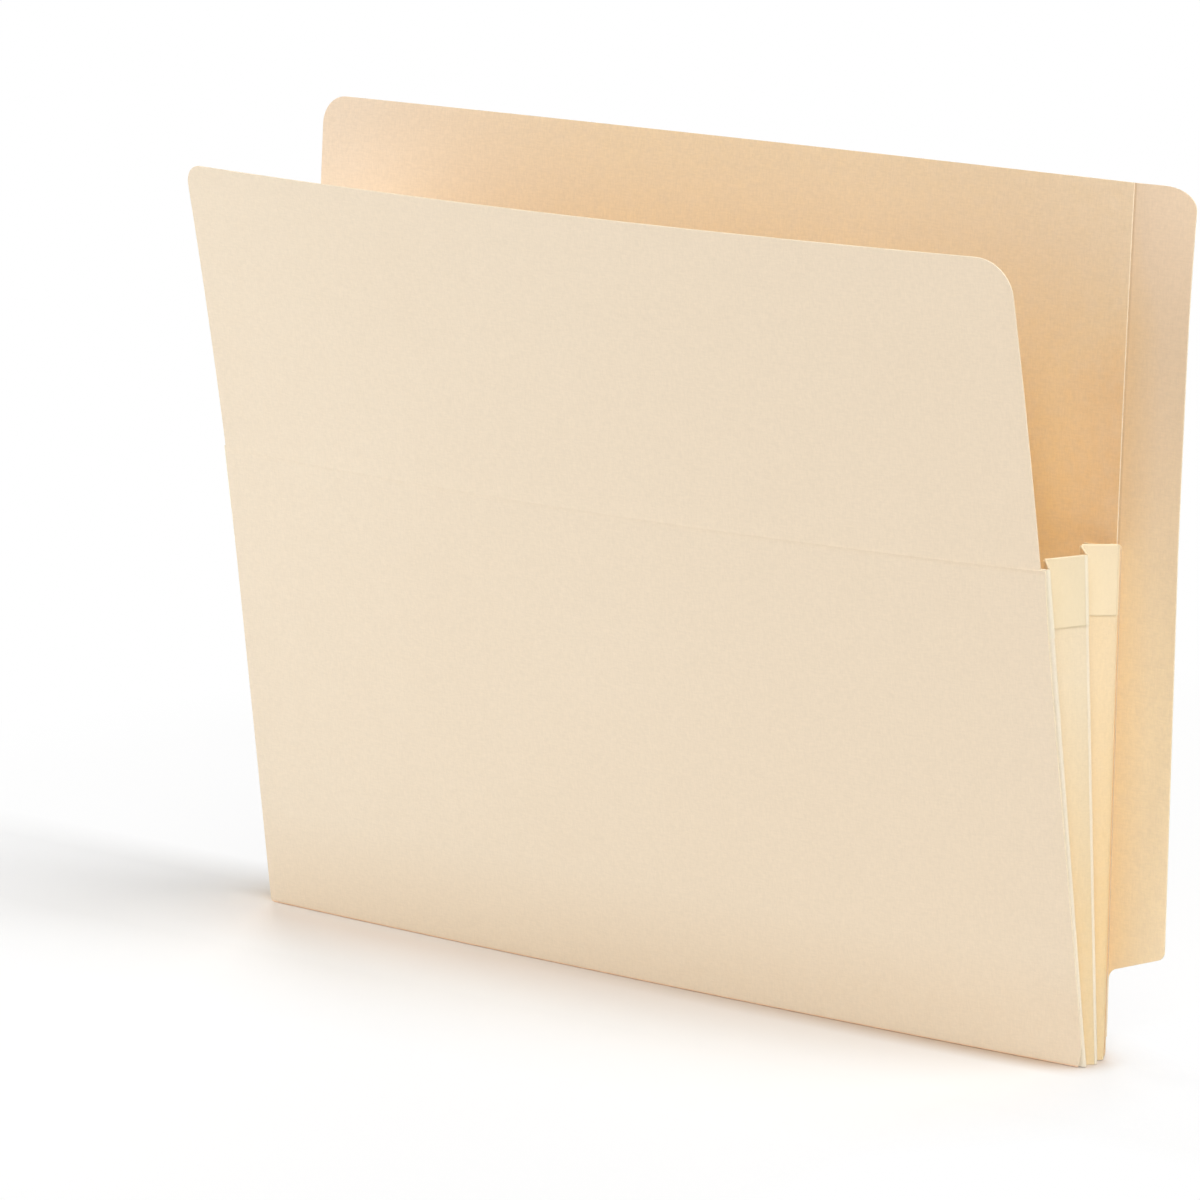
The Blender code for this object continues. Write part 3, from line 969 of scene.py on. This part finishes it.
def make_middle_fold(name, hand, low, high, stock, finish):
    """A length of the outward fold between the two middle leaves, which stands on the base."""
    turn = math.pi - 2 * LEAF_ANGLE
    radius = MID_OUT / math.sin(turn / 2)
    edge = hand * (RIDGE_X + MID_PROUD)
    left, right = sorted((edge - hand * MID_OUT, edge))
    fold = blank(name, left, right, low, high, -MID_OUT)
    pick(fold, lambda co: abs(co.x - edge) < NEAR, "EDGE")
    bpy.ops.mesh.spin(
        steps=FOLD_STEPS,
        angle=hand * turn,
        center=(edge - hand * radius * math.cos(turn / 2), 0.0, 0.0),
        axis=(0.0, 1.0, 0.0),
    )
    done()
    pick(fold, lambda co: abs(co.z + MID_OUT) < NEAR)
    bpy.ops.mesh.delete(type="ONLY_FACE")
    bpy.ops.mesh.select_all(action="SELECT")
    bpy.ops.mesh.delete_loose(use_edges=True)
    done()
    rule_lines(fold, [], spaced(low, high, UPWARDS))
    lay(fold, middle_surface, Vector((0.0, 1.0, 0.0)))
    dress(fold, finish, finish, finish)
    thicken(fold, stock)
    stand_for(fold, "base", "manila_gusset")
    if stock == TAPED_T:
        middle = middle_surface(edge - hand * radius * math.cos(turn / 2), high - CAP_DROP - CAP_T / 2)
        make_fold_cap(name + "_cap", "base", middle, radius)


def make_gusset(side_name, hand):
    for number in (1, 2, 3, 4):
        make_leaf(side_name, hand, number)
        make_leaf_tape(side_name, hand, number)
    for number in (2, 3):
        make_valley_fold(side_name, hand, number)
    walls = (
        ("front", front_surface, FRONT_OUT, FRONT_FOLD_TOP, FOLD, TAPE_FOLD),
        ("back", back_surface, BACK_OUT, GUSSET_TOP, STRIP, BACK_TAPE),
    )
    for wall, surface, out, top, fold_finish, tape_finish in walls:
        make_lap(side_name, hand, wall, surface, out)
        name = f"{side_name}_{wall}_fold"
        taped = top - TAPE_H
        make_edge_fold(name, hand, wall, surface, out, GUSSET_LOW, taped, GUSSET_T, fold_finish)
        make_edge_fold(name + "_tape", hand, wall, surface, out, taped, top, TAPED_T, tape_finish)
    name = f"{side_name}_middle_fold"
    taped = GUSSET_TOP - TAPE_H
    make_middle_fold(name, hand, GUSSET_LOW, taped, GUSSET_T, FOLD)
    make_middle_fold(name + "_tape", hand, taped, GUSSET_TOP, TAPED_T, TAPE_FOLD)


# Stage


def seen_directly(tree):
    """1 for what the camera sees, also in a reflection or through glass, and 0 for light."""
    light_path = add_node(tree, "ShaderNodeLightPath")
    seen = combined(tree, light_path.outputs["Is Camera Ray"], light_path.outputs["Is Glossy Ray"])
    return combined(tree, seen, light_path.outputs["Is Transmission Ray"], clamp=True)


def covered(tree, reach):
    """How far the sky within reach is hidden from the floor, 1 where only SKY_LEFT of it is open."""
    sky = add_node(tree, "ShaderNodeAmbientOcclusion", samples=SKY_SAMPLES)
    sky.inputs["Distance"].default_value = reach
    return ranged(tree, sky.outputs["AO"], 0.0, 1.0, 1.0, SKY_LEFT)


def floor_colour(tree, place):
    """Pale grey, with painted shade near the pocket, more so to the left, and a darker, warmer painted
    contact shade where the pocket touches.
    """
    across = coordinate(tree, place, "X")
    leftwards = ranged(tree, across, FLOOR_SHADE_LEAST, 1.0, *FLOOR_SHADE_RUN)
    near_share = combined(tree, leftwards, covered(tree, FLOOR_SHADE_REACH), "MULTIPLY")
    colour = mixed(tree, near_share, FLOOR_SHOWN, FLOOR_SHADED)
    rightwards = ranged(tree, across, 0.0, 1.0, *FLOOR_CONTACT_SHADE_RUN)
    contact_shade = mixed(tree, rightwards, FLOOR_CONTACT_SHADE_LEFT, FLOOR_CONTACT_SHADE_RIGHT)
    return mixed(tree, covered(tree, FLOOR_CONTACT_SHADE_REACH), colour, contact_shade)


def floor_whiteness(tree, place):
    """How far the floor has turned plain white, with the distance and along each fade."""
    away = add_node(tree, "ShaderNodeVectorMath", operation="LENGTH")
    tree.links.new(place.outputs["Object"], away.inputs[0])
    far = ranged(tree, away.outputs["Value"], 0.0, 1.0, *FLOOR_WHITE_RUN)
    return combined(tree, far, depth_of_tone(tree, place, FLOOR_FADES), clamp=True)


def mixed_shader(tree, factor, first, second):
    mix = add_node(tree, "ShaderNodeMixShader")
    tree.links.new(factor, mix.inputs[0])
    tree.links.new(first.outputs[0], mix.inputs[1])
    tree.links.new(second.outputs[0], mix.inputs[2])
    return mix


def floor_material():
    """A white floor that keeps the shadow near the pocket, adds painted shade there, and shows plain
    white further out.
    """
    material = bpy.data.materials.new("white_floor")
    material.use_nodes = True
    tree = material.node_tree
    tree.nodes.remove(tree.nodes["Principled BSDF"])
    place = add_node(tree, "ShaderNodeTexCoord")
    bounce = add_node(tree, "ShaderNodeBsdfDiffuse")
    bounce.inputs["Color"].default_value = (*FLOOR_BOUNCE, 1.0)
    shown = add_node(tree, "ShaderNodeBsdfDiffuse")
    tree.links.new(floor_colour(tree, place), shown.inputs["Color"])
    white = add_node(tree, "ShaderNodeEmission")
    spread = mixed_shader(tree, floor_whiteness(tree, place), shown, white)
    swap = mixed_shader(tree, seen_directly(tree), bounce, spread)
    tree.links.new(swap.outputs[0], tree.nodes["Material Output"].inputs["Surface"])
    return material


def make_floor():
    choose_none()
    bpy.ops.mesh.primitive_plane_add(size=FLOOR_SIZE, location=(0.0, 0.0, -FLOOR_DROP))
    floor = bpy.context.object
    floor.name = "floor"
    dress(floor, floor_material())


def make_world():
    """White where it is seen, and no light of its own."""
    world = bpy.data.worlds.new("studio")
    bpy.context.scene.world = world
    world.use_nodes = True
    tree = world.node_tree
    background = tree.nodes["Background"]
    background.inputs["Color"].default_value = (1.0, 1.0, 1.0, 1.0)
    tree.links.new(seen_directly(tree), background.inputs["Strength"])


def make_lamps():
    for name, azimuth, elevation, power in LAMPS:
        across = math.radians(azimuth)
        height = math.radians(elevation)
        level = math.cos(height)
        away = Vector((math.sin(across) * level, -math.cos(across) * level, math.sin(height)))
        bpy.ops.object.light_add(type="AREA", location=AIM + away * LAMP_DISTANCE)
        lamp = bpy.context.object
        lamp.name = name
        lamp.data.shape = "DISK"
        lamp.data.size = LAMP_SIZE
        lamp.data.energy = power
        lamp.rotation_euler = (-away).to_track_quat("-Z", "Y").to_euler()


def make_camera():
    data = bpy.data.cameras.new("camera")
    camera = bpy.data.objects.new("camera", data)
    bpy.context.scene.collection.objects.link(camera)
    turn = Matrix((CAMERA_RIGHT, CAMERA_UP, CAMERA_RIGHT.cross(CAMERA_UP))).transposed()
    camera.matrix_world = Matrix.Translation(CAMERA_PLACE) @ turn.to_4x4()
    data.lens = CAMERA_LENS
    data.sensor_width = CAMERA_SENSOR
    data.shift_x, data.shift_y = CAMERA_SHIFT
    data.clip_start = CAMERA_NEAREST
    data.clip_end = CAMERA_FURTHEST
    bpy.context.scene.camera = camera


make_base()
make_front()
make_flap()
make_back()
make_tab()
make_gusset("right", 1.0)
make_gusset("left", -1.0)
make_floor()
make_world()
make_lamps()
make_camera()
bpy.context.scene.view_settings.view_transform = "Standard"
